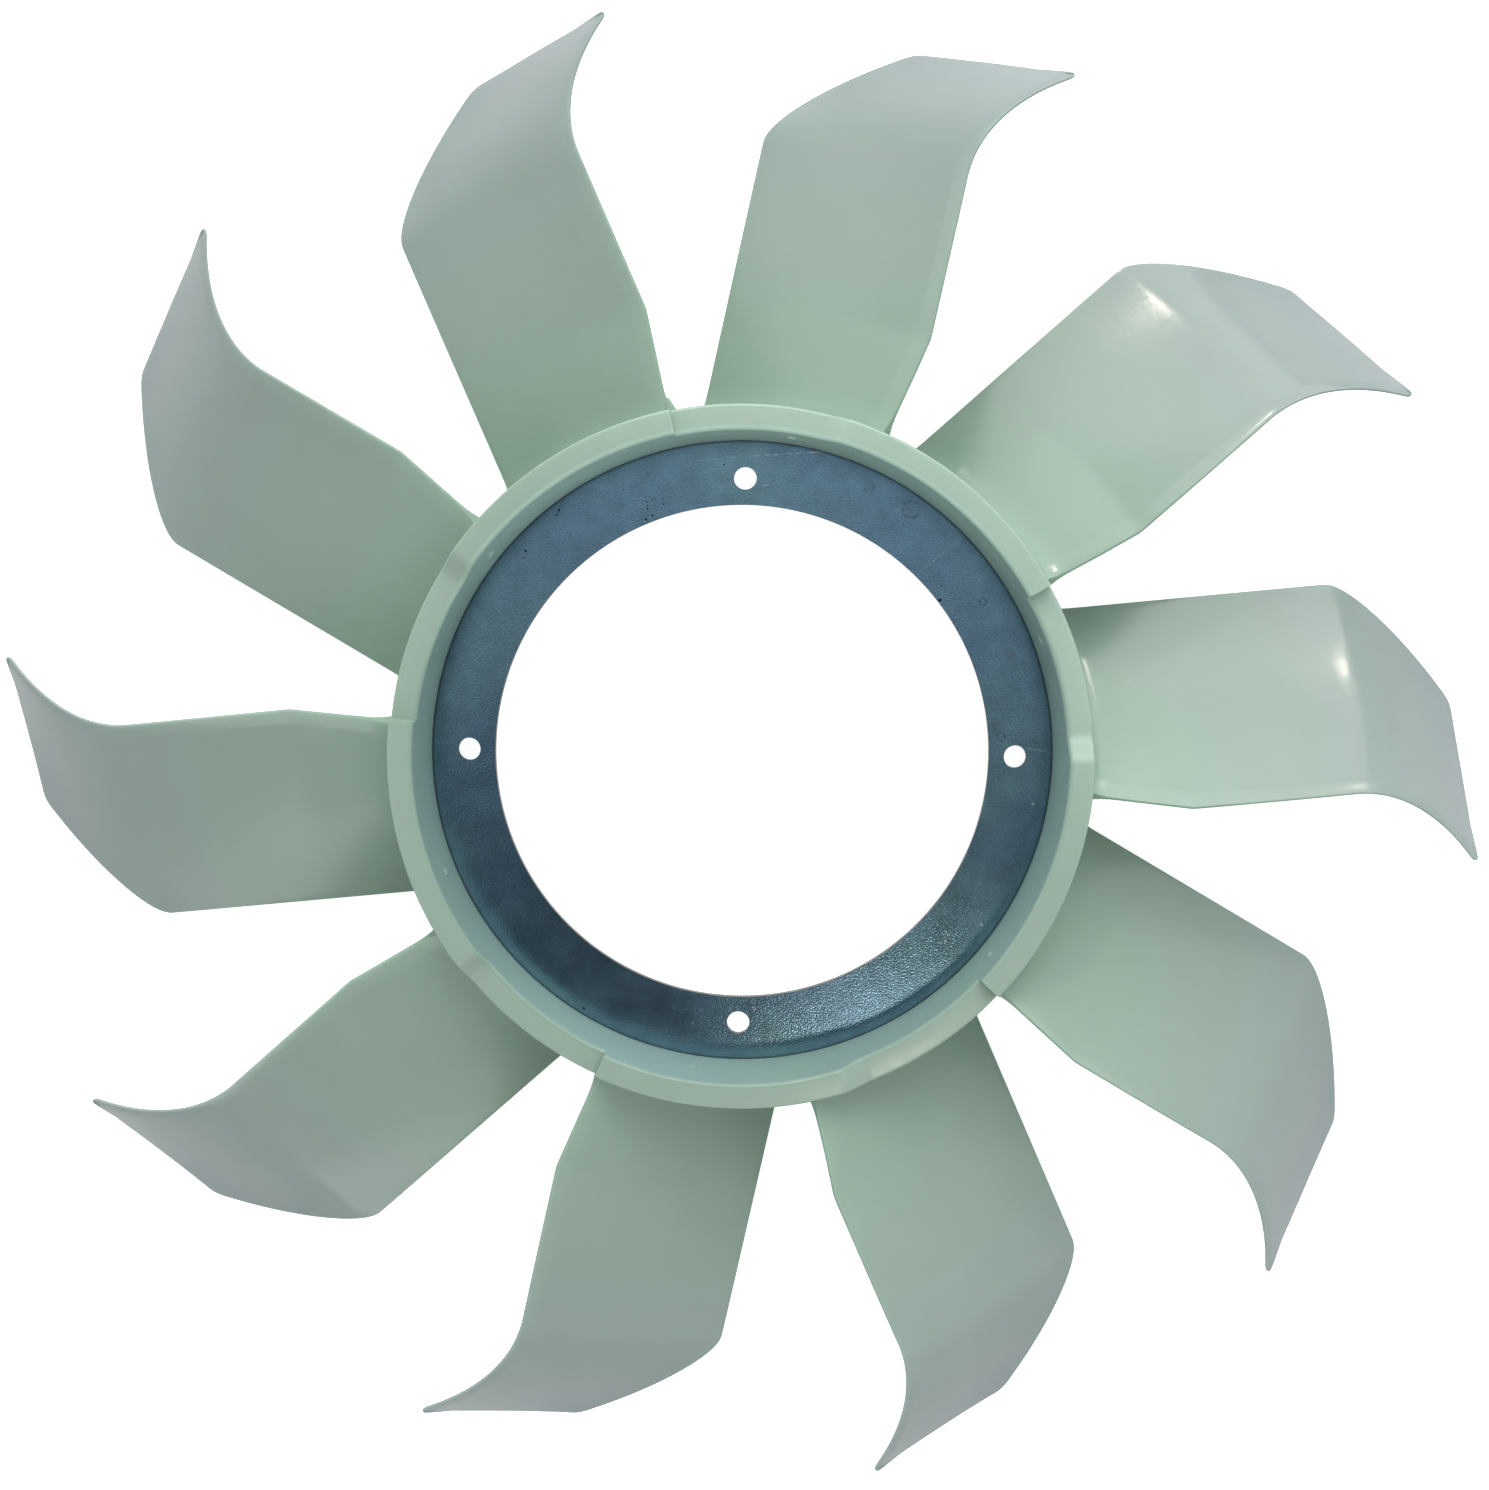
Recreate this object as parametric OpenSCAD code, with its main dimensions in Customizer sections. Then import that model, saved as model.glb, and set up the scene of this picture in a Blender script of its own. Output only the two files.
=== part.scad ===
// Ten-bladed engine cooling fan: a moulded nylon wheel on a punched steel mounting ring.
// Z is the fan axis. Z = 0 is the front face of the steel ring, and +Z is the open front of the hub.

/* [Wheel] */
// Diameter over the blade tips
tip_d = 421; // [400:1:440]
// Number of blades, even because the rim's raised lands stand at every second one
blade_count = 10; // [6:2:12]
// Turn of the blades about the axis, measured from a bolt hole
blade_phase = 6.2; // [0:0.1:36]

/* [Steel ring] */
// Diameter of the pilot bore
bore_d = 144.6; // [130:0.1:150]
// Distance of the bolt circle from the edge of the pilot bore
bolt_inset = 7.7; // [6:0.1:10]
// Number of bolt holes
bolt_count = 4; // [3:1:8]
// Diameter of a bolt hole, to clear an M6 screw
bolt_d = 6.6; // [5:0.1:8]
// Width of the plate that stays bare, from the pilot bore to the hub wall
bare_w = 18.6; // [17:0.1:22]
// Width of the plate's edge that is moulded into the hub wall
plate_grip = 3.4; // [2:0.1:5]
// Gap between the plate's outer edge and the plastic
grip_gap = 0.15; // [0.05:0.05:0.3]
// Thickness of the steel plate
plate_t = 2.5; // [1.5:0.1:4]

/* [Hub ring] */
// Wall of the hub ring at the steel plate
hub_wall = 8.7; // [7:0.1:12]
// Draft of the inner wall, in degrees
wall_draft = 3.5; // [0:0.5:5]
// Height of the rim's lower stretches above the plate
rim_z = 22.0; // [16:0.1:30]
// Height of the raised lands above the lower stretches
land_h = 4.0; // [1:0.1:8]
// Arc of each raised land, in degrees
land_arc = 42; // [10:1:50]
// Arc over which a land runs down at its far end, in degrees
land_ramp = 5; // [2:0.5:8]
// Depth of the hub ring behind the plate's front face
hub_back = 15; // [8:0.5:24]
// Chamfer on the inner edge of the rim
rim_chamfer = 1.4; // [0.4:0.1:2]
// Rounding on the outer edge of the rim
rim_round = 0.8; // [0.2:0.1:1.5]

/* [Gate marks] */
// Number of small gate marks on the inner wall
gate_count = 6; // [3:1:8]
// Diameter of a gate mark
gate_d = 2.6; // [1:0.1:4]
// Height of a gate mark's centre above the plate
gate_z = 12.5; // [5:0.5:14]
// How far a gate mark stands off the wall
gate_proud = 0.35; // [0.1:0.05:0.8]
// Turn of the gate marks about the axis
gate_phase = 21.5; // [0:0.5:60]

/* [Blade outline] */
// Distance of the straight leading edge from the blade's own axis
lead_w = 33.0; // [24:0.5:36]
// Distance of the straight trailing edge from the blade's own axis
trail_w = 25.8; // [18:0.2:28]
// Angle from the blade's axis to the trailing edge at the root, in degrees
root_half_angle = 11.6; // [10:0.1:13]
// Distance along the blade's axis to the cut shoulder, at the leading edge
shoulder_x = 185.3; // [176:0.1:190]
// Slope of the shoulder against the leading edge, in degrees
shoulder_slope = 32.7; // [28:0.1:38]
// Softness of the corner between leading edge and shoulder, in degrees
shoulder_blend = 7.9; // [3:0.1:10]
// Length of the ear at the trailing tip, past the straight edge
ear_l = 24; // [8:0.5:28]
// Radial length over which the ear sweeps out
ear_sweep = 37; // [24:0.5:50]
// Rounding of the ear's point
ear_round = 2; // [0.5:0.1:4]
// Rounding of the corner between shoulder and tip
corner_round = 3; // [0.5:0.1:6]

/* [Blade section] */
// Height of the leading edge over the back of the hub ring
lead_up = 4.0; // [3:0.5:8]
// Depth of the trailing edge at the root, below the rim's lower stretches
trail_down = 2.2; // [2:0.1:8]
// Rise of the trailing edge from the root to half way along the blade
trail_rise_mid = 4.8; // [-4:0.1:6]
// Rise of the trailing edge from the root to the tip
trail_rise_tip = 1.4; // [-6:0.1:6]
// Camber of the blade section at the hub
camber_root = 3.5; // [0:0.1:8]
// Camber of the blade section at the tip
camber_tip = 4.5; // [0:0.1:8]
// Blade thickness at the hub, along the middle
blade_t_root = 3.8; // [2:0.1:5]
// Blade thickness at the tip, along the middle
blade_t_tip = 2.2; // [1.4:0.1:4]
// Share of that thickness left at the edges
edge_share = 0.72; // [0.4:0.02:1]
// Extra thickness where the blade flares into the hub
flare_t = 2.6; // [0:0.1:6]
// Length of the flare along the blade
flare_l = 9; // [3:0.5:16]

/* [Hidden] */
$fn = 96;

tip_r = tip_d / 2;
bolt_pcd = bore_d + 2 * bolt_inset;
seat_r = bore_d / 2 + bare_w;
hub_r = seat_r + hub_wall;
pitch = 360 / blade_count;
wall_depth = 3.5;              // how far a blade's root runs into the hub ring
root_r = hub_r - wall_depth;
tip_soft = 1.0;                // radial length of the rounded tip edge
span_steps = 20;               // loft stations along a blade
chord_steps = 9;               // loft steps across a blade
ear_start = tip_r - ear_sweep;
land_count = blade_count / 2;
land_z = rim_z + land_h;
ramp_lap = 1;                  // how far, in degrees, the cut for a ramp runs into the level one
lead_z = hub_back - lead_up;   // how far the leading edge lies behind the plate's front face
trail_z_root = rim_z - trail_down;
trail_z_mid = trail_z_root + trail_rise_mid;
trail_z_tip = trail_z_root + trail_rise_tip;
land_ahead = 0.5;              // how far, in degrees, a land starts ahead of a blade's root edge
groove_r = seat_r + plate_grip + grip_gap;
back_edge = 0.6;               // bevel on the hub's back edges
over = 2;                      // how far a cut runs past what it cuts
tab_blade = 3;                 // the one blade that keeps a tab of flash at its root
tab_w = 3.0;
tab_l = 4.0;
tab_t = 2.4;

nylon = [0.66, 0.75, 0.69];
zinc = [0.36, 0.43, 0.50];

// Radius of the hub's inner wall at a height above the plate
function wall_r(z) = seat_r + z * tan(wall_draft);

// Smaller of two values, with a soft change from one to the other
function soft_min(a, b, k) =
    let (h = max(k - abs(a - b), 0) / k) min(a, b) - h * h * k / 4;

// Angle from the blade's axis to its straight leading edge at a radius
function straight_angle(r) = asin(lead_w / r);

// Angle from the blade's axis to the cut shoulder, which is a line at a slant
shoulder_foot = (shoulder_x + tan(shoulder_slope) * lead_w) * cos(shoulder_slope);
function shoulder_angle(r) =
    r > shoulder_foot ? shoulder_slope - acos(shoulder_foot / r) : shoulder_slope + 90;

// How far a round corner of radius c pulls an edge in, close to the tip
function pull_in(r, c) =
    let (e = max(r - tip_r + c, 0)) c - sqrt(max(c * c - e * e, 0));

function lead_angle(r) =
    soft_min(straight_angle(r), shoulder_angle(r), shoulder_blend)
    - pull_in(r, corner_round) / r * 180 / PI;

// How far the trailing edge stands out into the ear at a radius, with a rounded point
function ear_out(r) =
    let (s = max(r - ear_start, 0) / ear_sweep) ear_l * s * s - pull_in(r, ear_round);

function trail_angle(r) =
    -min(asin(trail_w / r), root_half_angle) - ear_out(r) / r * 180 / PI;

// Share of the way from hub to tip
function span(r) = max(0, min(1, (r - hub_r) / (tip_r - hub_r)));

// Height of the trailing edge: one curve through its heights at the root, half way and the tip
function trail_z(r) =
    let (s = span(r))
    trail_z_root * (1 - s) * (1 - 2 * s) + trail_z_mid * 4 * s * (1 - s) + trail_z_tip * s * (2 * s - 1);
function camber(r) = camber_root + (camber_tip - camber_root) * span(r);

// Height of the blade's middle surface; q runs from the trailing edge (0) to the leading edge (1)
function mid_z(r, q) = trail_z(r) * (1 - q) - lead_z * q - camber(r) * 4 * q * (1 - q);

// A round end: grows from a third to the full value over the length l
function round_end(e, l) =
    e >= l ? 1 : 0.34 + 0.66 * sqrt(max(0, 1 - (1 - e / l) * (1 - e / l)));

function flare(r) =
    let (s = max(0, 1 - max(r - hub_r, 0) / flare_l)) flare_t * s * s * s;

// Half the blade's thickness at a radius and a place across it
function half_t(r, q, chord) =
    let (t = blade_t_root + (blade_t_tip - blade_t_root) * span(r),
         body = t * (edge_share + (1 - edge_share) * 4 * q * (1 - q)),
         from_edge = min(q, 1 - q) * chord)
    (body * round_end(from_edge, t) * round_end(tip_r - r, tip_soft) + flare(r)) / 2;

// A point of the blade's skin, on its front (side 1) or back (side -1)
function skin(r, q, side) =
    let (a0 = trail_angle(r), a1 = lead_angle(r),
         a = a0 + (a1 - a0) * q,
         chord = r * (a1 - a0) * PI / 180,
         rise = -lead_z - trail_z(r) - camber(r) * 4 * (1 - 2 * q),
         len = sqrt(chord * chord + rise * rise),
         h = side * half_t(r, q, chord),
         along = -h * rise / len)
    [r * cos(a) - along * sin(a), r * sin(a) + along * cos(a), mid_z(r, q) + h * chord / len];

// Stations along the blade, closer together towards the tip
function station(i) =
    i == span_steps ? tip_r :
    root_r + (tip_r - tip_soft * 0.3 - root_r) * (1 - pow(1 - i / (span_steps - 1), 1.5));

function across(j) = (1 - cos(180 * j / chord_steps)) / 2;

// One closed ring of skin points: front side from trailing to leading edge, then back again
function section(r) = concat(
    [for (j = [0:chord_steps]) skin(r, across(j), 1)],
    [for (j = [chord_steps:-1:0]) skin(r, across(j), -1)]);

module blade() {
    n = 2 * (chord_steps + 1);
    last = span_steps * n;
    points = [for (i = [0:span_steps]) each section(station(i))];
    sides = [for (i = [0:span_steps - 1], j = [0:n - 1])
        let (a = i * n + j, b = i * n + (j + 1) % n)
        each [[a, b, a + n], [b, b + n, a + n]]];
    root_cap = [for (j = [0:chord_steps - 1])
        each [[j, n - 1 - j, j + 1], [j + 1, n - 1 - j, n - 2 - j]]];
    tip_cap = [for (j = [0:chord_steps - 1])
        each [[last + j, last + j + 1, last + n - 1 - j],
              [last + j + 1, last + n - 2 - j, last + n - 1 - j]]];
    polyhedron(points, concat(sides, root_cap, tip_cap), convexity = 4);
}

// Tab of flash left at the root of one trailing edge
module flash_tab() {
    rotate([0, 0, blade_phase + tab_blade * pitch - root_half_angle])
        translate([hub_r - 1, 0, trail_z_root - tab_t])
            linear_extrude(tab_t)
                polygon([[0, 1.5], [0, -tab_w], [1 + tab_l * 0.5, -tab_w * 0.9],
                         [1 + tab_l * 0.75, -tab_w * 0.4], [1 + tab_l, 0], [1 + tab_l, 1.5]]);
}

// Cross-section of the whole hub ring at its full height, with the groove that grips the plate
module hub_profile() {
    polygon([[seat_r, 0], [groove_r, 0], [groove_r, -plate_t], [seat_r, -plate_t],
             [seat_r + back_edge, -hub_back], [hub_r - back_edge, -hub_back],
             [hub_r, -hub_back + back_edge], [hub_r, land_z - rim_round],
             [hub_r - rim_round * 0.3, land_z - rim_round * 0.3], [hub_r - rim_round, land_z],
             [wall_r(land_z) + rim_chamfer * 0.5, land_z],
             [wall_r(land_z - rim_chamfer), land_z - rim_chamfer]]);
}

// What is taken off above a lower stretch of the rim, which leaves the same rounded edges
module low_profile() {
    foot = rim_z - rim_chamfer;
    polygon([[wall_r(foot) - over, foot], [wall_r(foot), foot],
             [wall_r(rim_z) + rim_chamfer * 0.5, rim_z], [hub_r - rim_round, rim_z],
             [hub_r - rim_round * 0.3, rim_z - rim_round * 0.3], [hub_r, rim_z - rim_round],
             [hub_r + over, rim_z - rim_round], [hub_r + over, land_z + over],
             [wall_r(foot) - over, land_z + over]]);
}

// Cut for one lower stretch: a ramp down from the land before it, then the level part
module low_cut() {
    ramp_l = wall_r(rim_z) * sin(land_ramp);
    rotate([0, 0, land_ramp])
        rotate_extrude(angle = 2 * pitch - land_arc - land_ramp)
            low_profile();
    intersection() {
        rotate_extrude(angle = land_ramp + ramp_lap)
            translate([seat_r - over, rim_z - over])
                square([hub_r - seat_r + 2 * over, land_h + 2 * over]);
        rotate([90, 0, 90])
            linear_extrude(tip_r)
                polygon([[-over, land_z], [0, land_z], [ramp_l, rim_z],
                         [ramp_l + over, rim_z], [ramp_l + over, land_z + over],
                         [-over, land_z + over]]);
    }
}

module gate_mark() {
    sink = 1;
    translate([wall_r(gate_z) - gate_proud, 0, gate_z])
        rotate([0, 90, 0])
            cylinder(h = gate_proud + sink, d = gate_d, $fn = 24);
}

module hub_ring() {
    land_start = blade_phase + pitch - root_half_angle - land_ahead;
    difference() {
        rotate_extrude() hub_profile();
        for (k = [0:land_count - 1])
            rotate([0, 0, land_start + land_arc + k * 2 * pitch])
                low_cut();
    }
    for (k = [0:gate_count - 1])
        rotate([0, 0, gate_phase + k * 360 / gate_count])
            gate_mark();
}

module fan_wheel() {
    color(nylon)
        union() {
            hub_ring();
            for (k = [0:blade_count - 1])
                rotate([0, 0, blade_phase + k * pitch])
                    blade();
            flash_tab();
        }
}

module steel_insert() {
    color(zinc)
        translate([0, 0, -plate_t])
            difference() {
                cylinder(h = plate_t, r = seat_r + plate_grip);
                translate([0, 0, -1])
                    cylinder(h = plate_t + 2, d = bore_d);
                for (k = [0:bolt_count - 1])
                    rotate([0, 0, k * 360 / bolt_count])
                        translate([bolt_pcd / 2, 0, -1])
                            cylinder(h = plate_t + 2, d = bolt_d, $fn = 32);
            }
}

fan_wheel();
steel_insert();
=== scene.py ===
import math
import bpy
from mathutils import Matrix, Vector


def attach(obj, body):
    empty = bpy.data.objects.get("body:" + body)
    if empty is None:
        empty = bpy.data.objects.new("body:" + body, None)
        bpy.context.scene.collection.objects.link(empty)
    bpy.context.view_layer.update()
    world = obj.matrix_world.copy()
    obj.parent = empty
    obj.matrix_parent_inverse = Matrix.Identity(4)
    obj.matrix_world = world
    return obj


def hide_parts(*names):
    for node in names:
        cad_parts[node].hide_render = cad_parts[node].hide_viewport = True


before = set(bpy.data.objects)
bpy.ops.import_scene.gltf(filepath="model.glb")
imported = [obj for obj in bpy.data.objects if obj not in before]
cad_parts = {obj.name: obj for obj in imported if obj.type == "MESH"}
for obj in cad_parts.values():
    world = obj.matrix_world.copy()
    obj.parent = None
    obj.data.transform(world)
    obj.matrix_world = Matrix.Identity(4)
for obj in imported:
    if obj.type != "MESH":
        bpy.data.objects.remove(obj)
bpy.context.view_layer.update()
mm = 0.001
smoothAngle = 32           # degrees; sharper edges stay sharp
print("frame loaded")


# Helpers

def clearSelection():
    for thing in bpy.context.selected_objects:
        thing.select_set(False)


def makeActive(thing):
    clearSelection()
    thing.select_set(True)
    bpy.context.view_layer.objects.active = thing


def editMode(thing):
    makeActive(thing)
    bpy.ops.object.mode_set(mode="EDIT")


def objectMode():
    bpy.ops.object.mode_set(mode="OBJECT")


def applyModifier(thing, kind, **values):
    modifier = thing.modifiers.new("shape", kind)
    for key, value in values.items():
        setattr(modifier, key, value)
    makeActive(thing)
    bpy.ops.object.modifier_apply(modifier=modifier.name)


def smoothShade(thing):
    makeActive(thing)
    bpy.ops.object.shade_smooth_by_angle(angle=math.radians(smoothAngle))


def flattenNormals(thing):
    applyModifier(thing, "WEIGHTED_NORMAL", weight=100, keep_sharp=True)


def copyOf(thing, name):
    twin = thing.copy()
    twin.data = thing.data.copy()
    twin.name = name
    bpy.context.collection.objects.link(twin)
    return twin


def turned(x, y, degrees):
    a = math.radians(degrees)
    return x * math.cos(a) - y * math.sin(a), x * math.sin(a) + y * math.cos(a)


# Hub ring: a lathe turned by extruding one circle round the profile, in millimetres

hubSizes = {
    "outerR": 99.6,
    "seatR": 90.9,         # foot of the inner wall
    "draft": 3.5,          # inner wall, degrees
    "rimZ": 22.0,
    "lands": 5,
    "landH": 4.0,
    "landArc": 42.0,       # degrees
    "landRamp": 5.0,       # sloped end of a land, degrees
    "landAhead": 0.5,      # a land starts this far before a blade's root, degrees
    "landStep": 0.06,      # half of a land's steep start, degrees
    "backZ": -15.0,
    "backRound": 0.6,
    "plateT": 2.5,
    "grooveR": 94.45,
    "innerRound": 1.4,
    "innerEase": 0.6,      # the inner rounding's width as a share of its height
    "outerRound": 0.8,
    "roundSteps": 4,
    "wallRows": (6.0, 12.0),
    "outerRowZ": 8.0,
    "rimRow": 4.0,         # row on top of the rim, from the wall's upper edge
    "wallBand": 4.0,       # rows this near to the wall's foot follow the draft up a land
    "segments": 720,
}
landEvery = 360 / hubSizes["lands"]


def wallRadius(z):
    return hubSizes["seatR"] + z * math.tan(math.radians(hubSizes["draft"]))


def hubProfile():
    h = hubSizes
    top = h["rimZ"]
    inner, outer = h["innerRound"], h["outerRound"]
    back = h["backRound"]
    turns = [math.radians(90 * step / h["roundSteps"]) for step in range(h["roundSteps"] + 1)]
    points = [(h["seatR"], 0.0)] + [(wallRadius(z), z) for z in h["wallRows"]]
    for a in turns:                                      # rounded inner edge of the rim
        across = inner * h["innerEase"] * (1 - math.cos(a))
        points.append((wallRadius(top) + across, top - inner + inner * math.sin(a)))
    points.append((wallRadius(top) + h["rimRow"], top))
    for a in turns:                                      # rounded outer edge of the rim
        points.append((h["outerR"] - outer + outer * math.sin(a), top - outer + outer * math.cos(a)))
    points += [(h["outerR"], h["outerRowZ"]), (h["outerR"], h["backZ"] + back),
               (h["outerR"] - back, h["backZ"]), (h["seatR"] + back, h["backZ"]),
               (h["seatR"], h["backZ"] + back), (h["seatR"], -h["plateT"]),
               (h["grooveR"], -h["plateT"]), (h["grooveR"], 0.0)]
    return points


def pastLandStart(degrees, start):                       # degrees, up to half the way to the next land
    half = landEvery / 2
    return (degrees - start + half) % landEvery - half


def landHeight(degrees, start):
    h = hubSizes
    a = (degrees - start) % landEvery
    if a <= h["landArc"]:
        return h["landH"]
    if a < h["landArc"] + h["landRamp"]:
        s = (a - h["landArc"]) / h["landRamp"]
        return h["landH"] * (1 - s * s * (3 - 2 * s))
    return 0.0


def buildHub(landStart):
    profile = hubProfile()
    clearSelection()
    r0, z0 = profile[0]
    bpy.ops.mesh.primitive_circle_add(vertices=hubSizes["segments"], radius=r0 * mm,
                                      location=(0, 0, z0 * mm))
    hub = bpy.context.object
    hub.name = "hubRing"
    bpy.ops.object.transform_apply(location=True)
    editMode(hub)
    bpy.ops.mesh.select_all(action="SELECT")
    for (ra, za), (rb, zb) in zip(profile, profile[1:]):
        bpy.ops.mesh.extrude_edges_move(TRANSFORM_OT_translate={"value": (0, 0, (zb - za) * mm)})
        bpy.ops.transform.resize(value=(rb / ra, rb / ra, 1), center_override=(0, 0, 0))
    bpy.ops.mesh.select_all(action="DESELECT")
    bpy.ops.mesh.select_non_manifold()
    bpy.ops.mesh.bridge_edge_loops()
    bpy.ops.mesh.select_all(action="SELECT")
    bpy.ops.mesh.normals_make_consistent(inside=False)
    objectMode()
    halfStep = 180 / hubSizes["segments"]
    for v in hub.data.vertices:                          # close up the two rows at the start of each land
        off = pastLandStart(math.degrees(math.atan2(v.co.y, v.co.x)), landStart)
        if abs(off) < 2 * halfStep:
            target = math.copysign(hubSizes["landStep"], off)
            v.co.x, v.co.y = turned(v.co.x, v.co.y, target - off)
    lift = hubSizes["rimZ"] - 2 * hubSizes["innerRound"]       # what lies above it is the rim
    for v in hub.data.vertices:                          # raise the five lands
        z = v.co.z / mm
        if z > lift:
            angle = math.degrees(math.atan2(v.co.y, v.co.x))
            v.co.z += landHeight(angle, landStart) * mm
            r = math.hypot(v.co.x, v.co.y) / mm
            if r < hubSizes["seatR"] + hubSizes["wallBand"]:
                grow = landHeight(angle, landStart) * math.tan(math.radians(hubSizes["draft"]))
                v.co.x *= (r + grow) / r
                v.co.y *= (r + grow) / r
    return hub


# Blade: a grid bent to the blade's middle surface, then thickened and rounded

bladeSizes = {
    "count": 10,
    "phase": 6.2,          # where the first blade's own axis points, degrees
    "tipR": 210.1,         # the rounded tip edge adds the last 0.4
    "rootR": 96.0,
    "hubR": hubSizes["outerR"],
    "leadW": 32.5,         # straight leading edge to the blade's own axis
    "trailW": 25.8,        # and the trailing edge
    "rootHalf": 11.6,      # most that the trailing edge lies behind the axis at the root, degrees
    "shoulderX": 185.3,    # cut shoulder of the leading edge
    "shoulderSlope": 32.7,
    "shoulderBlend": 8.8,  # degrees
    "earL": 24.0,
    "earSweep": 37.0,      # the last stretch of the blade, in which the ear sweeps out
    "earRound": 2.0,
    "cornerRound": 3.0,
    "leadZ": -11.0,
    "trailRootZ": 19.8,
    "trailMidZ": 24.6,
    "trailTipZ": 21.2,
    "camberRoot": 3.5,
    "camberTip": 4.5,
    "thickRoot": 3.8,
    "thickTip": 2.2,
    "edgeShare": 0.72,     # thickness near the edges as a share of the middle's
    "edgeLeft": 0.36,      # share of the thickness left at the trailing edge and tip
    "leadLeft": 0.92,      # and at the blunter leading edge
    "leadSoft": 0.4,       # how far the leading edge is rounded, in thicknesses
    "tipSoft": 1.0,        # and the tip, mm
    "edgeTaper": 0.55,     # straight and round shares of an edge's form
    "edgeCurve": 0.45,
    "flareT": 2.6,
    "flareL": 9.0,
    "shiftL": 20.0,        # a moved trailing edge comes in over this length from the root
    "along": 76,           # rows from root to tip
    "crowd": 1.5,          # 1 spaces the rows evenly, more crowds them towards the tip
}
bladeTurn = 360 / bladeSizes["count"]
edgeLines = (0, 0.1, 0.35, 0.62, 0.86, 1.0, 1.14, 1.5)     # distances from an edge, in thicknesses
innerLines = 18
# How far each ear has warped, mm, by blade: sideways, outwards, and outwards at the leading corner
earWarps = {
    1: (1.8, 2.8, 0.0),
    2: (-0.3, 0.8, -0.8),
    3: (0.6, 0.25, -0.9),
    4: (-3.2, 0.7, -0.3),
    6: (-0.9, 1.1, -0.1),
    7: (-0.3, 1.3, -0.6),
    8: (1.4, 0.65, 0.3),
    9: (-1.5, 1.4, 0.0),
}
trailShifts = {1: -0.4, 2: -0.3, 8: 0.6}                   # mm that a whole trailing edge has moved


def softMin(a, b, k):
    h = max(k - abs(a - b), 0) / k
    return min(a, b) - h * h * k / 4


def pullIn(r, c):
    e = max(r - bladeSizes["tipR"] + c, 0)
    return c - math.sqrt(max(c * c - e * e, 0))


def leadAngle(r):
    b = bladeSizes
    slope = math.radians(b["shoulderSlope"])
    foot = (b["shoulderX"] + math.tan(slope) * b["leadW"]) * math.cos(slope)
    straight = math.degrees(math.asin(b["leadW"] / r))
    shoulder = b["shoulderSlope"] + 90
    if r > foot:
        shoulder = b["shoulderSlope"] - math.degrees(math.acos(foot / r))
    corner = math.degrees(pullIn(r, b["cornerRound"]) / r)
    return softMin(straight, shoulder, b["shoulderBlend"]) - corner


def trailAngle(r):
    b = bladeSizes
    s = max(r - b["tipR"] + b["earSweep"], 0) / b["earSweep"]
    ear = b["earL"] * s * s - pullIn(r, b["earRound"])
    return -min(math.degrees(math.asin(b["trailW"] / r)), b["rootHalf"]) - math.degrees(ear / r)


def spanShare(r):
    b = bladeSizes
    return max(0.0, min(1.0, (r - b["hubR"]) / (b["tipR"] - b["hubR"])))


def chordAt(r):
    return r * math.radians(leadAngle(r) - trailAngle(r))


def acrossShare(column, r):
    edge = [line * bodyThickness(r) / chordAt(r) for line in edgeLines]
    last = len(edge) - 1
    if column <= last:
        return edge[column]
    if column >= last + innerLines:
        return 1 - edge[2 * last + innerLines - column]
    return edge[last] + (1 - 2 * edge[last]) * (column - last) / innerLines


def bodyThickness(r):
    b = bladeSizes
    return b["thickRoot"] + (b["thickTip"] - b["thickRoot"]) * spanShare(r)


def roundEnd(distance, length, left):
    x = min(1.0, distance / length)
    b = bladeSizes
    return left + (1 - left) * (b["edgeTaper"] * x + b["edgeCurve"] * math.sqrt(1 - (1 - x) ** 2))


def bladePoint(r, q):
    b = bladeSizes
    s = spanShare(r)
    a = math.radians(trailAngle(r) + (leadAngle(r) - trailAngle(r)) * q)
    trailZ = (b["trailRootZ"] * (1 - s) * (1 - 2 * s) + b["trailMidZ"] * 4 * s * (1 - s)
              + b["trailTipZ"] * s * (2 * s - 1))
    camber = b["camberRoot"] + (b["camberTip"] - b["camberRoot"]) * s
    z = trailZ * (1 - q) + b["leadZ"] * q - camber * 4 * q * (1 - q)
    return r * math.cos(a), r * math.sin(a), z


def bladeThickness(r, q):
    b = bladeSizes
    flare = b["flareT"] * max(0.0, 1 - max(r - b["hubR"], 0) / b["flareL"]) ** 3
    body = bodyThickness(r)
    chord = chordAt(r)
    trailEdge = roundEnd(q * chord, body, b["edgeLeft"])
    leadEdge = roundEnd((1 - q) * chord, b["leadSoft"] * body, b["leadLeft"])
    tipEdge = roundEnd(b["tipR"] - r, b["tipSoft"], b["edgeLeft"])
    middle = b["edgeShare"] + (1 - b["edgeShare"]) * 4 * q * (1 - q)
    return body * middle * (trailEdge * leadEdge) * tipEdge + flare


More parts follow.
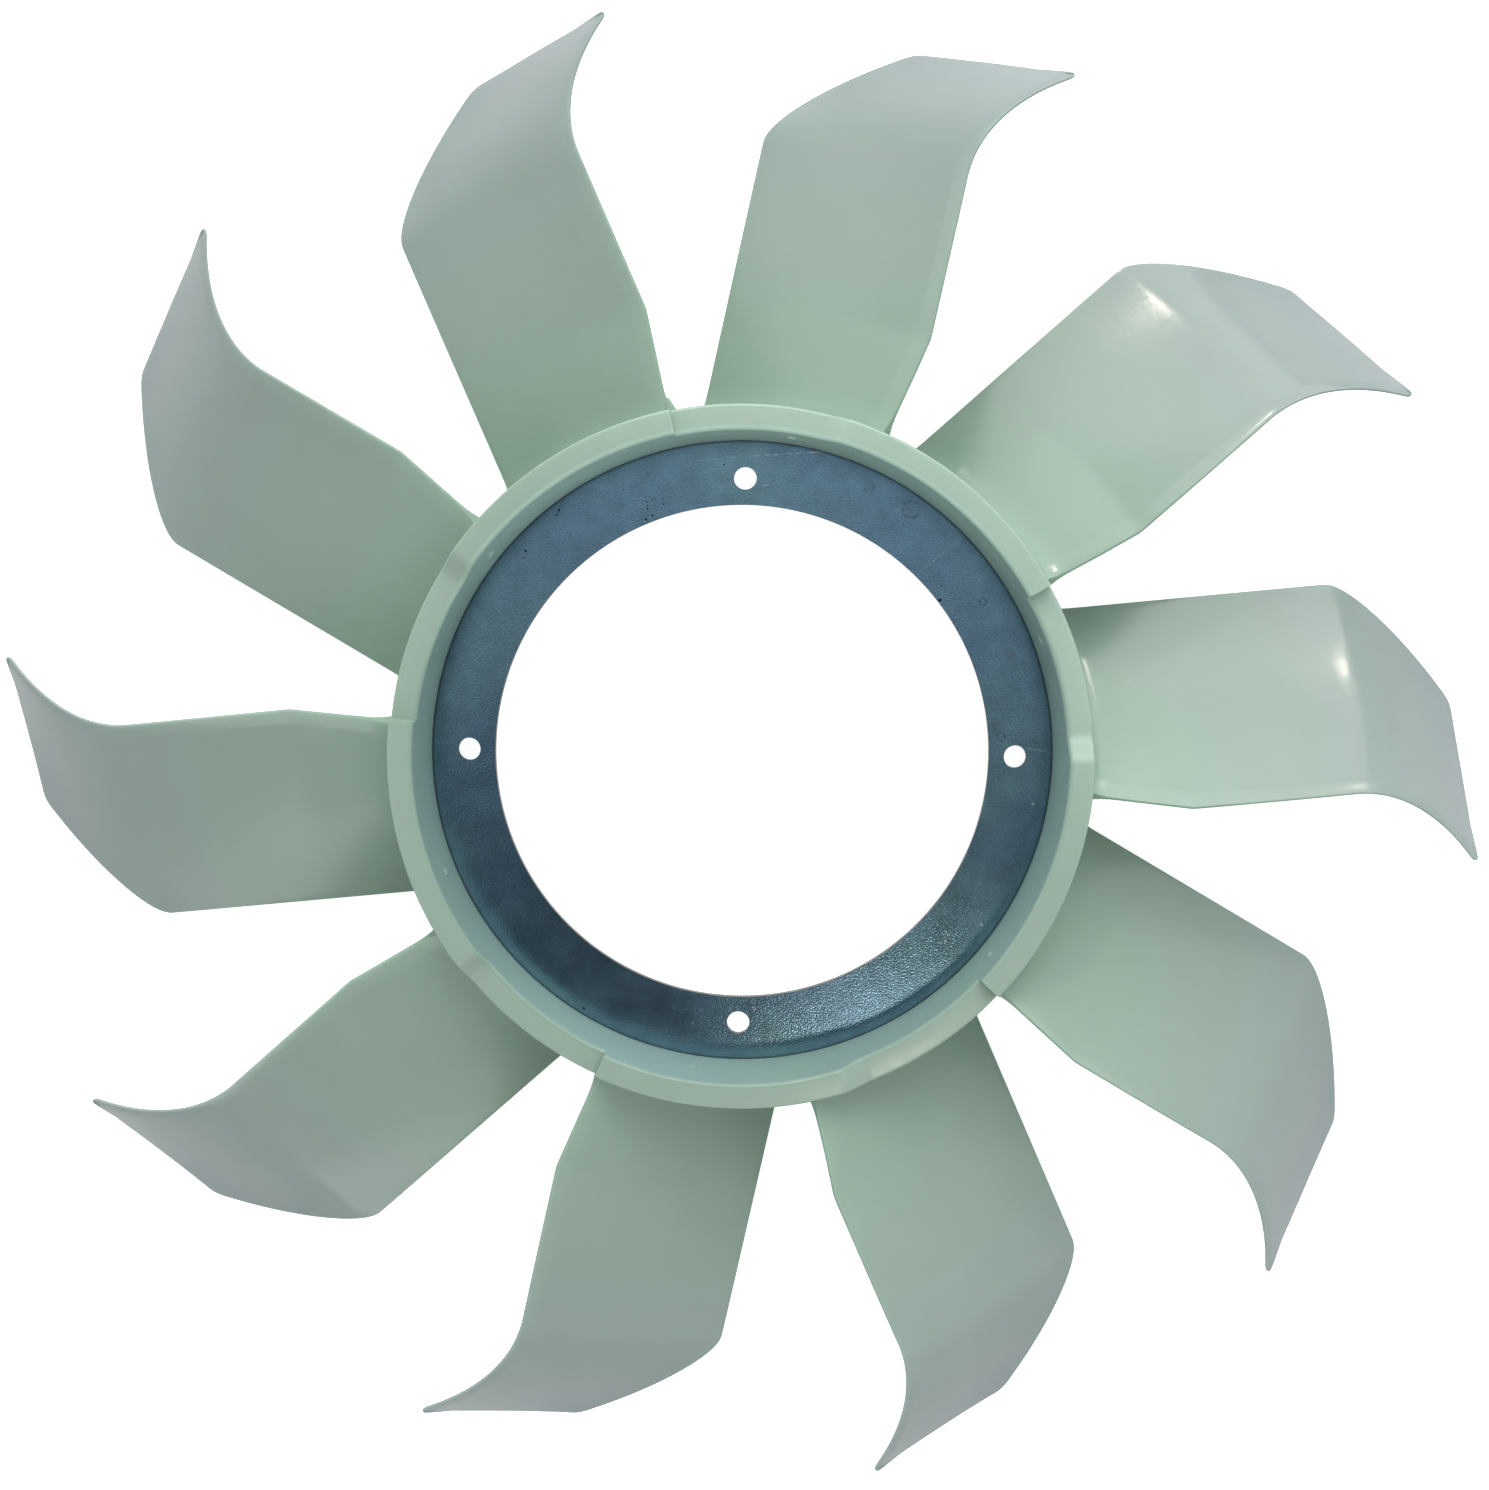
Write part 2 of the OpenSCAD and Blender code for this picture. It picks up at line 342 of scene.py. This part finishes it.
def buildBlade():
    b = bladeSizes
    columns = 2 * (len(edgeLines) - 1) + innerLines
    clearSelection()
    bpy.ops.mesh.primitive_grid_add(x_subdivisions=columns, y_subdivisions=b["along"], size=1)
    blade = bpy.context.object
    blade.name = "blade"
    most = b["thickRoot"] + b["flareT"]
    thickness = blade.vertex_groups.new(name="thickness")
    for v in blade.data.vertices:
        s = 1 - (0.5 - v.co.y) ** b["crowd"]
        r = b["rootR"] + (b["tipR"] - b["rootR"]) * s
        q = acrossShare(round((v.co.x + 0.5) * columns), r)
        x, y, z = bladePoint(r, q)
        v.co = (x * mm, y * mm, z * mm)
        thickness.add([v.index], min(1.0, bladeThickness(r, q) / most), "REPLACE")
    applyModifier(blade, "SOLIDIFY", thickness=most * mm, offset=0, vertex_group="thickness",
                  use_even_offset=False, use_quality_normals=True)
    editMode(blade)
    bpy.ops.mesh.select_all(action="SELECT")
    bpy.ops.mesh.normals_make_consistent(inside=False)
    objectMode()
    return blade


def warpBlade(blade, sideways, outwards, corner, shift):       # moulded blades don't come out quite alike
    b = bladeSizes
    for v in blade.data.vertices:
        r = math.hypot(v.co.x, v.co.y) / mm
        a = math.atan2(v.co.y, v.co.x)
        inner = min(r, b["tipR"])
        lead, trail = math.radians(leadAngle(inner)), math.radians(trailAngle(inner))
        fromLead = max(0.0, min(1.0, (lead - a) / (lead - trail)))
        ear = max(r - b["tipR"] + b["earSweep"], 0) / b["earSweep"]
        moved = sideways * ear + shift * min(1.0, (r - b["rootR"]) / b["shiftL"])
        a += moved * fromLead / r
        r += (outwards * fromLead + corner * (1 - fromLead)) * ear
        v.co.x, v.co.y = r * math.cos(a) * mm, r * math.sin(a) * mm


# Small marks of the mould: gates on the inner wall, and one tab of flash at a blade's root

markSizes = {
    "gateAngles": (22.0, 81.7, 141.8, -157.7, -98.2, -37.9),
    "gateR": 1.3,
    "gateZ": 12.5,
    "gateProud": 0.35,
    "gateDepth": 2.0,
    "gateSides": 24,
    "gateSoft": 0.25,
    "tabBlade": 3,
    "tabLength": 4.0,
    "tabWidth": 3.0,
    "tabThick": 2.4,
    "tabSunk": 1.0,        # how deep it starts inside the hub
    "tabAhead": 1.5,
    "tabTaper": 0.35,      # width at its free end, as a share
    "tabSoft": 0.7,
}


def buildGate(degrees):
    m = markSizes
    clearSelection()
    bpy.ops.mesh.primitive_cylinder_add(vertices=m["gateSides"], radius=m["gateR"] * mm,
                                        depth=m["gateDepth"] * mm)
    gate = bpy.context.object
    applyModifier(gate, "BEVEL", width=m["gateSoft"] * mm, segments=2, limit_method="ANGLE")
    reach = wallRadius(m["gateZ"]) - m["gateProud"] + m["gateDepth"] / 2
    x, y = turned(reach * mm, 0, degrees)
    place = Matrix.Translation((x, y, m["gateZ"] * mm)) @ Matrix.Rotation(math.radians(degrees), 4, "Z")
    gate.data.transform(place @ Matrix.Rotation(math.radians(90), 4, "Y"))
    return gate


def buildTab():
    m = markSizes
    clearSelection()
    bpy.ops.mesh.primitive_cube_add(size=1)
    tab = bpy.context.object
    for v in tab.data.vertices:
        out = v.co.x > 0
        x = hubSizes["outerR"] - m["tabSunk"] + (m["tabLength"] + m["tabSunk"] if out else 0)
        y = m["tabAhead"] if v.co.y > 0 else -m["tabWidth"] * (m["tabTaper"] if out else 1.0)
        z = bladeSizes["trailRootZ"] - m["tabThick"] * (0.5 - v.co.z)
        v.co = (x * mm, y * mm, z * mm)
    applyModifier(tab, "BEVEL", width=m["tabSoft"] * mm, segments=3, limit_method="ANGLE")
    turn = bladeSizes["phase"] + bladeTurn * m["tabBlade"] - bladeSizes["rootHalf"]
    tab.data.transform(Matrix.Rotation(math.radians(turn), 4, "Z"))
    return tab


def weldOn(target, piece):
    applyModifier(target, "BOOLEAN", object=piece, operation="UNION", solver="MANIFOLD")
    bpy.data.objects.remove(piece)


def buildWheel():
    b = bladeSizes
    moulding = buildHub(b["phase"] + bladeTurn - b["rootHalf"] - hubSizes["landAhead"])
    print("hub ring turned")
    straightBlade = buildBlade()
    for k in range(b["count"]):
        oneBlade = copyOf(straightBlade, "bladeCopy")
        warpBlade(oneBlade, *earWarps.get(k, (0, 0, 0)), trailShifts.get(k, 0))
        oneBlade.data.transform(Matrix.Rotation(math.radians(b["phase"] + bladeTurn * k), 4, "Z"))
        weldOn(moulding, oneBlade)
    bpy.data.objects.remove(straightBlade)
    for gateAngle in markSizes["gateAngles"]:
        weldOn(moulding, buildGate(gateAngle))
    weldOn(moulding, buildTab())
    moulding.name = "fan_wheel_moulding"
    smoothShade(moulding)
    flattenNormals(moulding)
    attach(moulding, "root")
    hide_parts("fan_wheel")
    return moulding


wheel = buildWheel()
print("blades and marks joined to the hub", len(wheel.data.polygons))


# Steel ring: a punched plate with softened edges

plateSizes = {
    "outerR": 94.3,        # 0.15 of room in the hub's groove
    "boreR": 72.3,
    "thick": hubSizes["plateT"],
    "boltCircleR": 80.0,
    "boltCount": 4,
    "boltR": 3.3,
    "edgeRound": 0.3,
    "sharpAngle": 50,      # only edges sharper than this are rounded, degrees
    "segments": 360,
    "boltSegments": 64,
}


def disc(radius, depth, segments, x=0.0, y=0.0, z=0.0):
    clearSelection()
    bpy.ops.mesh.primitive_cylinder_add(vertices=segments, radius=radius * mm, depth=depth * mm)
    piece = bpy.context.object
    piece.data.transform(Matrix.Translation((x * mm, y * mm, z * mm)))
    return piece


def punch(target, tool):
    applyModifier(target, "BOOLEAN", object=tool, operation="DIFFERENCE", solver="MANIFOLD")
    bpy.data.objects.remove(tool)


def buildPlate():
    p = plateSizes
    through = 4 * p["thick"]
    plate = disc(p["outerR"], p["thick"], p["segments"], z=-p["thick"] / 2)
    punch(plate, disc(p["boreR"], through, p["segments"]))
    for k in range(p["boltCount"]):
        x, y = turned(p["boltCircleR"], 0, 360 * k / p["boltCount"])
        punch(plate, disc(p["boltR"], through, p["boltSegments"], x, y))
    applyModifier(plate, "BEVEL", width=p["edgeRound"] * mm, segments=3, limit_method="ANGLE",
                  angle_limit=math.radians(p["sharpAngle"]))
    plate.name = "steel_ring_plate"
    smoothShade(plate)
    flattenNormals(plate)
    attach(plate, "root")
    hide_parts("steel_insert")
    return plate


plate = buildPlate()
print("steel ring punched", len(plate.data.polygons))


# Materials, painted by nodes on Object coordinates

def newMaterial(name):
    material = bpy.data.materials.new(name)
    material.use_nodes = True
    tree = material.node_tree
    return material, tree, tree.nodes["Principled BSDF"]


def addNode(tree, kind, inputs=None, **settings):
    made = tree.nodes.new(kind)
    for key, value in settings.items():
        setattr(made, key, value)
    for key, value in (inputs or {}).items():
        if isinstance(value, bpy.types.NodeSocket):
            tree.links.new(value, made.inputs[key])
        else:
            made.inputs[key].default_value = value
    return made


def calc(tree, operation, a, b=0.0, clamp=False):
    return addNode(tree, "ShaderNodeMath", {0: a, 1: b}, operation=operation, use_clamp=clamp).outputs[0]


def vectorCalc(tree, operation, a, b=(0, 0, 0), output="Vector"):
    return addNode(tree, "ShaderNodeVectorMath", {0: a, 1: b}, operation=operation).outputs[output]


def remap(tree, value, low, high, toLow=0.0, toHigh=1.0, smooth=False):
    kind = "SMOOTHSTEP" if smooth else "LINEAR"
    return addNode(tree, "ShaderNodeMapRange", {"Value": value, "From Min": low, "From Max": high,
                                                "To Min": toLow, "To Max": toHigh},
                   interpolation_type=kind).outputs["Result"]


def noise(tree, coords, perMetre, detail=2.0):
    return addNode(tree, "ShaderNodeTexNoise", {"Vector": coords, "Scale": perMetre,
                                                "Detail": detail}).outputs["Fac"]


def layered(tree, coords, coarse, fine, fineShare):     # each layer is noise per metre and its detail
    base = noise(tree, coords, *coarse)
    return calc(tree, "ADD", base, calc(tree, "MULTIPLY", noise(tree, coords, *fine), fineShare))


def patchy(tree, coords, layer, levels, values):        # noise between two levels, mapped to two values
    return remap(tree, noise(tree, coords, *layer), *levels, *values)


def overRadius(tree, away, start, end, *values, smooth=False):     # start and end in mm
    return remap(tree, away, start * mm, end * mm, *values, smooth=smooth)


def blend(tree, factor, a, b):
    return addNode(tree, "ShaderNodeMix", {0: factor, 6: a, 7: b}, data_type="RGBA").outputs[2]


def shaded(tree, colour, shade):
    grey = addNode(tree, "ShaderNodeCombineXYZ", {0: shade, 1: shade, 2: shade}).outputs[0]
    return vectorCalc(tree, "MULTIPLY", colour, grey)


def addBump(tree, shader, height, strength, depth):     # depth in mm
    bump = addNode(tree, "ShaderNodeBump", {"Strength": strength, "Distance": depth * mm, "Height": height})
    tree.links.new(bump.outputs["Normal"], shader.inputs["Normal"])


def objectCoords(tree):
    return addNode(tree, "ShaderNodeTexCoord").outputs["Object"]


def flatCoords(tree, coords):
    return vectorCalc(tree, "MULTIPLY", coords, (1, 1, 0))


def spot(tree, coords, x, y, z, radius, soft=0.35):     # 1 inside a round spot, millimetres
    away = vectorCalc(tree, "DISTANCE", coords, (x * mm, y * mm, z * mm), "Value")
    return remap(tree, away, radius * mm, radius * (1 - soft) * mm, smooth=True)


def ringMark(tree, coords, x, y, radius, width):        # 1 on a thin circle
    away = vectorCalc(tree, "DISTANCE", coords, (x * mm, y * mm, 0), "Value")
    off = calc(tree, "ABSOLUTE", calc(tree, "SUBTRACT", away, radius * mm))
    return remap(tree, off, width * mm, 0.0, smooth=True)


def lineMark(tree, coords, start, end, width):          # 1 along a straight scratch
    a = Vector((start[0] * mm, start[1] * mm, 0))
    run = Vector((end[0] * mm, end[1] * mm, 0)) - a
    fromStart = vectorCalc(tree, "SUBTRACT", coords, tuple(a))
    share = calc(tree, "MULTIPLY", vectorCalc(tree, "DOT_PRODUCT", fromStart, tuple(run), "Value"),
                 1 / run.length_squared, clamp=True)
    scaled = {0: tuple(run), "Scale": share}
    along = addNode(tree, "ShaderNodeVectorMath", scaled, operation="SCALE").outputs[0]
    away = vectorCalc(tree, "DISTANCE", fromStart, along, "Value")
    return remap(tree, away, width * mm, 0.0, smooth=True)


def joined(tree, masks):
    total = masks[0]
    for mask in masks[1:]:
        total = calc(tree, "MAXIMUM", total, mask)
    return total


nylonLook = {
    "bands": (                                          # radius in mm, colour
        (92.6, (0.281, 0.398, 0.34)),                   # inner wall
        (94.0, (0.337, 0.448, 0.377)),                  # rim
        (99.3, (0.337, 0.448, 0.377)),
        (100.2, (0.332, 0.468, 0.379)),                 # blade roots
        (150, (0.331, 0.437, 0.374)),
        (205, (0.324, 0.38, 0.385)),                    # tips
    ),
    "clouds": ((16, 3), (90, 2), 0.4),
    "cloudLevels": (0.3, 1.1),
    "cloudShade": (0.95, 1.05),
    "wallEnds": (94.0, 92.6),                           # radii between which the wall turns into the rim
    "rimEnds": (99.6, 99.3),
    "rimPaintedLight": (55, 0.21),                              # painted light: side where the rim is made paler, and by how much
    "wallPaintedLight": (92, 0.62),                             # painted light on the inner wall, likewise
    "paintedLightReach": (22.0, 82.0),                          # mm towards that side: where it starts, is full
    "roughness": ((240, 2), (0.3, 0.7), (0.14, 0.20)),
    "grain": (620, 1),
    "grainFrom": (94.0, 96.0),                          # the inner wall has none
    "bump": (0.3, 0.06),
    "subsurface": 0.35,
    "lightTravel": (0.6, 1.0, 0.7),
    "lightDepth": 0.003,                                # metres
    "darkSpecks": ((-78.2, 57.7, 24.5, 0.7), (-175.7, 4.3, 15.0, 0.8)),     # x, y, z, radius
    "darkColour": (0.03, 0.035, 0.03, 1),
    "paleSpots": ((112.4, 22.7, 1.5, 1.1),),
    "paleColour": (0.62, 0.70, 0.64, 1),
    "paleShare": 0.5,
    "gateHighlightSpot": 1.7,                                    # radius of the paler spot at a gate mark, partly a painted highlight on its nub
}


def paintSideLight(tree, coords, side, mask):                 # painted light: strongest on one side of the hub, none opposite
    degrees, most = side
    way = vectorCalc(tree, "DOT_PRODUCT", coords, turned(1, 0, degrees) + (0,), "Value")
    share = calc(tree, "MULTIPLY", overRadius(tree, way, *nylonLook["paintedLightReach"], smooth=True), most)
    return calc(tree, "MULTIPLY", share, mask)


def nylonMaterial():
    look = nylonLook
    material, tree, shader = newMaterial("nylon")
    coords = objectCoords(tree)
    radius = vectorCalc(tree, "LENGTH", flatCoords(tree, coords), output="Value")
    inner, outer = look["bands"][0][0], look["bands"][-1][0]
    ramp = addNode(tree, "ShaderNodeValToRGB", {"Fac": remap(tree, radius, inner * mm, outer * mm)})
    stops = ramp.color_ramp.elements
    stops[0].color = look["bands"][0][1] + (1,)
    stops[1].color = look["bands"][-1][1] + (1,)
    for bandRadius, colour in look["bands"][1:-1]:
        stops.new((bandRadius - inner) / (outer - inner)).color = colour + (1,)
    clouds = layered(tree, coords, *look["clouds"])
    shade = remap(tree, clouds, *look["cloudLevels"], *look["cloudShade"])
    onWall = overRadius(tree, radius, *look["wallEnds"])
    onRim = calc(tree, "SUBTRACT", overRadius(tree, radius, *look["rimEnds"]), onWall)
    # painted light: the rim and inner wall are made paler on one side, as if lit from there
    paintedLightShare = calc(tree, "ADD", paintSideLight(tree, coords, look["rimPaintedLight"], onRim),
                 paintSideLight(tree, coords, look["wallPaintedLight"], onWall))
    shade = calc(tree, "MULTIPLY", shade, calc(tree, "ADD", paintedLightShare, 1.0))
    colour = shaded(tree, ramp.outputs["Color"], shade)
    height = markSizes["gateZ"]
    # pale specks, and at each gate mark a pale spot that is partly a painted highlight
    gates = [turned(wallRadius(height), 0, degrees) + (height, look["gateHighlightSpot"])
             for degrees in markSizes["gateAngles"]]
    paleSpots = list(look["paleSpots"]) + gates
    paleSpecksAndGateHighlights = joined(tree, [spot(tree, coords, x, y, z, r, 1.0) for x, y, z, r in paleSpots])
    colour = blend(tree, calc(tree, "MULTIPLY", paleSpecksAndGateHighlights, look["paleShare"]), colour, look["paleColour"])
    dark = joined(tree, [spot(tree, coords, x, y, z, r) for x, y, z, r in look["darkSpecks"]])
    colour = blend(tree, dark, colour, look["darkColour"])
    tree.links.new(colour, shader.inputs["Base Color"])
    tree.links.new(patchy(tree, coords, *look["roughness"]), shader.inputs["Roughness"])
    grain = calc(tree, "MULTIPLY", noise(tree, coords, *look["grain"]),
                 overRadius(tree, radius, *look["grainFrom"]))
    addBump(tree, shader, grain, *look["bump"])
    shader.inputs["Subsurface Weight"].default_value = look["subsurface"]
    shader.inputs["Subsurface Radius"].default_value = look["lightTravel"]
    shader.inputs["Subsurface Scale"].default_value = look["lightDepth"]
    return material


steelLook = {
    "blue": (0.193, 0.342, 0.474, 1),
    "teal": (0.222, 0.397, 0.486, 1),
    "edge": (0.29, 0.25, 0.235, 1),
    "edgeTurn": (0.97, 0.80),                           # uprightness of the normal where it comes in
    "patches": (22, 4),
    "patchLevels": (0.38, 0.64),
    "mottle": ((160, 4), (1500, 1), 0.9),
    "mottleLevels": (0.6, 1.3),
    "mottleShade": (0.82, 1.18),
    "paintedWallShade": (83.0, 89.5, 1.0, 0.9),                # painted shade, darker towards the hub wall: radii, then shades
    "seamShadowColour": (0.05, 0.075, 0.08, 1),                    # painted contact shadow along the foot of the wall
    "seamShadowFrom": (90.0, 90.8),
    "seamShadowShare": 0.75,
    "roughness": ((75, 3), (0.35, 0.65), (0.16, 0.20)),
    "grain": ((1900, 1), (320, 2), 0.4),
    "bump": (0.31, 0.08),
    "pitDepth": 3.0,                                    # in heights of the grain
    "pitColour": (0.01, 0.014, 0.02, 1),
    "pitShare": 0.9,
    "brightColour": (0.62, 0.70, 0.74, 1),              # scratches and bright pits
    "scratchBreaks": ((520, 2), (0.40, 0.56), (0.15, 1.0)),
    "ringColour": (0.03, 0.05, 0.06, 1),
    "ringBreaks": ((900, 2), (0.42, 0.55), (0.0, 0.7)),
    "stainColour": (0.16, 0.15, 0.12, 1),
    "stainBreaks": ((700, 2), (0.4, 0.6), (0.1, 0.5)),
    "scratches": (                                      # start, end, half width, strength
        ((-16.1, 84.7), (1.9, 86.4), 0.16, 0.4),
        ((1.9, 86.4), (23.3, 87.9), 0.22, 0.9),
        ((5.2, 77.9), (9.1, 78.6), 0.25, 0.8),
        ((62.8, 63.3), (51.3, 53.6), 0.22, 0.35),
        ((74.6, 4.1), (77.2, 3.6), 0.22, 0.6),
        ((83.8, 2.5), (91.0, 1.3), 0.22, 0.8),
        ((73.8, -25.5), (71.2, -32.9), 0.18, 0.25),
        ((60.5, -51.6), (62.0, -53.2), 0.35, 0.9),
        ((55.5, 62.0), (57.5, 60.5), 0.15, 0.35),
    ),
    "pits": (                                           # x, y, radius
        (-28.6, 72.7, 0.35), (-27.0, 73.7, 0.3), (-26.0, 73.5, 0.3), (-24.0, 73.5, 0.3), (-23.7, 72.1, 0.4),
        (-28.4, 71.6, 0.3), (-28.4, 70.8, 0.4), (-26.4, 71.6, 0.3), (-27.0, 68.7, 0.45), (-28.8, 67.6, 0.5),
        (-54.2, 70.1, 0.5), (-54.7, 68.6, 0.4), (-63.9, 58.1, 0.5), (-64.4, 56.1, 0.35), (-35.4, 76.1, 0.3),
        (-6.2, 83.8, 0.35), (-28.3, 80.7, 0.3), (-45.7, -76.5, 0.5), (71.9, -48.9, 0.35), (70.5, -38.5, 0.3),
        (72.3, -42.8, 0.3), (57.1, 45.3, 0.7),
    ),
    "brightPits": ((60.8, -54.7, 0.45), (4.6, -75.6, 0.45), (71.2, -49.6, 0.4), (85.5, -13.8, 0.5)),
    "stainRings": (                                     # x, y, radius, half width
        (48.2, 71.5, 2.4, 0.35), (36.0, 78.0, 1.4, 0.3), (69.7, 45.1, 1.0, 0.35), (75.7, 5.7, 1.2, 0.3),
    ),
    "stains": ((73.9, 8.9, 3.2), (78.1, 30.0, 2.6), (86.0, 5.0, 1.8), (47.6, 71.2, 2.4)),
}


def steelMaterial():
    look = steelLook
    material, tree, shader = newMaterial("zincSteel")
    coords = objectCoords(tree)
    flat = flatCoords(tree, coords)
    radius = vectorCalc(tree, "LENGTH", flat, output="Value")
    patches = remap(tree, noise(tree, coords, *look["patches"]), *look["patchLevels"], smooth=True)
    colour = blend(tree, patches, look["blue"], look["teal"])
    mottle = layered(tree, coords, *look["mottle"])
    shade = remap(tree, mottle, *look["mottleLevels"], *look["mottleShade"])
    # painted shade on the plate towards the hub wall
    shade = calc(tree, "MULTIPLY", shade, overRadius(tree, radius, *look["paintedWallShade"], smooth=True))
    colour = shaded(tree, colour, shade)
    stains = joined(tree, [spot(tree, flat, x, y, 0, r, 1.0) for x, y, r in look["stains"]])
    stains = calc(tree, "MULTIPLY", stains, patchy(tree, coords, *look["stainBreaks"]))
    colour = blend(tree, stains, colour, look["stainColour"])
    rings = joined(tree, [ringMark(tree, flat, x, y, r, w) for x, y, r, w in look["stainRings"]])
    rings = calc(tree, "MULTIPLY", rings, patchy(tree, coords, *look["ringBreaks"]))
    colour = blend(tree, rings, colour, look["ringColour"])
    pits = joined(tree, [spot(tree, flat, x, y, 0, r) for x, y, r in look["pits"]])
    colour = blend(tree, calc(tree, "MULTIPLY", pits, look["pitShare"]), colour, look["pitColour"])
    lines = [calc(tree, "MULTIPLY", lineMark(tree, flat, start, end, width), power)
             for start, end, width, power in look["scratches"]]
    scratch = calc(tree, "MULTIPLY", joined(tree, lines), patchy(tree, coords, *look["scratchBreaks"]))
    bright = joined(tree, [scratch] + [spot(tree, flat, x, y, 0, r) for x, y, r in look["brightPits"]])
    colour = blend(tree, bright, colour, look["brightColour"])
    normal = addNode(tree, "ShaderNodeTexCoord").outputs["Normal"]
    upright = addNode(tree, "ShaderNodeSeparateXYZ", {0: normal}).outputs[2]
    edge = remap(tree, calc(tree, "ABSOLUTE", upright), *look["edgeTurn"])
    colour = blend(tree, edge, colour, look["edge"])
    # painted contact shadow where the plate meets the hub wall
    seamShadowMask = overRadius(tree, radius, *look["seamShadowFrom"], smooth=True)
    colour = blend(tree, calc(tree, "MULTIPLY", seamShadowMask, look["seamShadowShare"]), colour, look["seamShadowColour"])
    tree.links.new(colour, shader.inputs["Base Color"])
    shader.inputs["Metallic"].default_value = 1.0
    tree.links.new(patchy(tree, coords, *look["roughness"]), shader.inputs["Roughness"])
    height = calc(tree, "SUBTRACT", layered(tree, coords, *look["grain"]),
                  calc(tree, "MULTIPLY", pits, look["pitDepth"]))
    addBump(tree, shader, height, *look["bump"])
    return material


def paint(piece, material):
    piece.data.materials.clear()
    piece.data.materials.append(material)


paint(wheel, nylonMaterial())
paint(plate, steelMaterial())
print("materials made")


# Camera, floor and lamps

cameraSizes = {
    "tiltX": 4.077,        # degrees, top of the wheel towards the lens
    "tiltY": -0.904,
    "roll": -0.757,
    "aside": 0.83,         # mm
    "above": 2.30,
    "distance": 616.9,
    "lens": 50.87,
    "sensor": 36,
    "nearest": 10,
}


def buildCamera():
    c = cameraSizes
    turn = (Matrix.Rotation(math.radians(c["tiltX"]), 3, "X")
            @ Matrix.Rotation(math.radians(c["tiltY"]), 3, "Y")
            @ Matrix.Rotation(math.radians(c["roll"]), 3, "Z")).transposed()
    data = bpy.data.cameras.new("camera")
    data.lens = c["lens"]
    data.sensor_width = c["sensor"]
    data.clip_start = c["nearest"] * mm
    camera = bpy.data.objects.new("camera", data)
    bpy.context.collection.objects.link(camera)
    place = turn @ Vector((c["aside"] * mm, c["above"] * mm, c["distance"] * mm))
    camera.matrix_world = Matrix.Translation(place) @ turn.to_4x4()
    bpy.context.scene.camera = camera


lightSizes = {
    "distance": 1.6,       # metres, as all sizes here
    "world": (0.602, 0.615, 0.615, 1),
    "ceiling": (0.045, 0.055, 0.065, 1),               # darker part of the room behind the lens
    "ceilingAt": (-0.02, -0.26, 0.965),                # direction of its middle
    "ceilingEdge": (0.14, 0.40),
    "sparkColour": (1.0, 0.87, 0.73),                  # of the small lamps that make the highlights
    "floorSize": 6,
    "floorColour": 0.86,
    "floorRough": 0.9,
    "floorLift": 0.84,     # seen by camera rays only, so that the ground reads white
    "lamps": {             # azimuth, elevation, size of the disc, power
        "keyLamp": (89, 31, 1.7, 12.0),
        "keySparkA": (103, 35, 0.07, 1.8),
        "keySparkB": (65, 30, 0.05, 0.8),
        "topLamp": (66, 52, 1.3, 4.6),
        "topSpark": (-73, 72, 0.12, 0.38),
        "leftFill": (145, 30, 0.8, 1.1),
        "lowFill": (268, 36, 0.9, 2.5),
    },
}


def buildFloor():
    clearSelection()
    bpy.ops.mesh.primitive_plane_add(size=lightSizes["floorSize"], location=(0, 0, hubSizes["backZ"] * mm))
    floor = bpy.context.object
    floor.name = "floor"
    material, tree, shader = newMaterial("floorWhite")
    grey = lightSizes["floorColour"]
    shader.inputs["Base Color"].default_value = (grey, grey, grey, 1)
    shader.inputs["Roughness"].default_value = lightSizes["floorRough"]
    shader.inputs["Emission Color"].default_value = (1, 1, 1, 1)
    seen = addNode(tree, "ShaderNodeLightPath").outputs["Is Camera Ray"]
    tree.links.new(calc(tree, "MULTIPLY", seen, lightSizes["floorLift"]), shader.inputs["Emission Strength"])
    floor.data.materials.append(material)


def discLamp(name, azimuth, elevation, size, power):
    data = bpy.data.lights.new(name, "AREA")
    data.shape = "DISK"
    data.size = size
    data.energy = power
    if "Spark" in name:
        data.color = lightSizes["sparkColour"]
    lamp = bpy.data.objects.new(name, data)
    bpy.context.collection.objects.link(lamp)
    a, e = math.radians(azimuth), math.radians(elevation)
    toLamp = Vector((math.cos(e) * math.cos(a), math.cos(e) * math.sin(a), math.sin(e)))
    lamp.location = toLamp * lightSizes["distance"]
    lamp.rotation_euler = toLamp.to_track_quat("Z", "Y").to_euler()


def buildWorld():
    world = bpy.data.worlds.new("world")
    bpy.context.scene.world = world
    world.use_nodes = True
    tree = world.node_tree
    way = addNode(tree, "ShaderNodeTexCoord").outputs["Generated"]
    away = vectorCalc(tree, "DISTANCE", way, lightSizes["ceilingAt"], "Value")
    near, far = lightSizes["ceilingEdge"]
    roomShare = remap(tree, away, near, far, smooth=True)
    light = blend(tree, roomShare, lightSizes["ceiling"], lightSizes["world"])
    seen = addNode(tree, "ShaderNodeLightPath").outputs["Is Camera Ray"]
    tree.links.new(blend(tree, seen, light, (1, 1, 1, 1)), tree.nodes["Background"].inputs["Color"])
    tree.nodes["Background"].inputs["Strength"].default_value = 1.0


buildCamera()
buildFloor()
buildWorld()
for lampName, (azimuth, elevation, discSize, power) in lightSizes["lamps"].items():
    discLamp(lampName, azimuth, elevation, discSize, power)
bpy.context.scene.view_settings.view_transform = "Standard"
print("stage set")
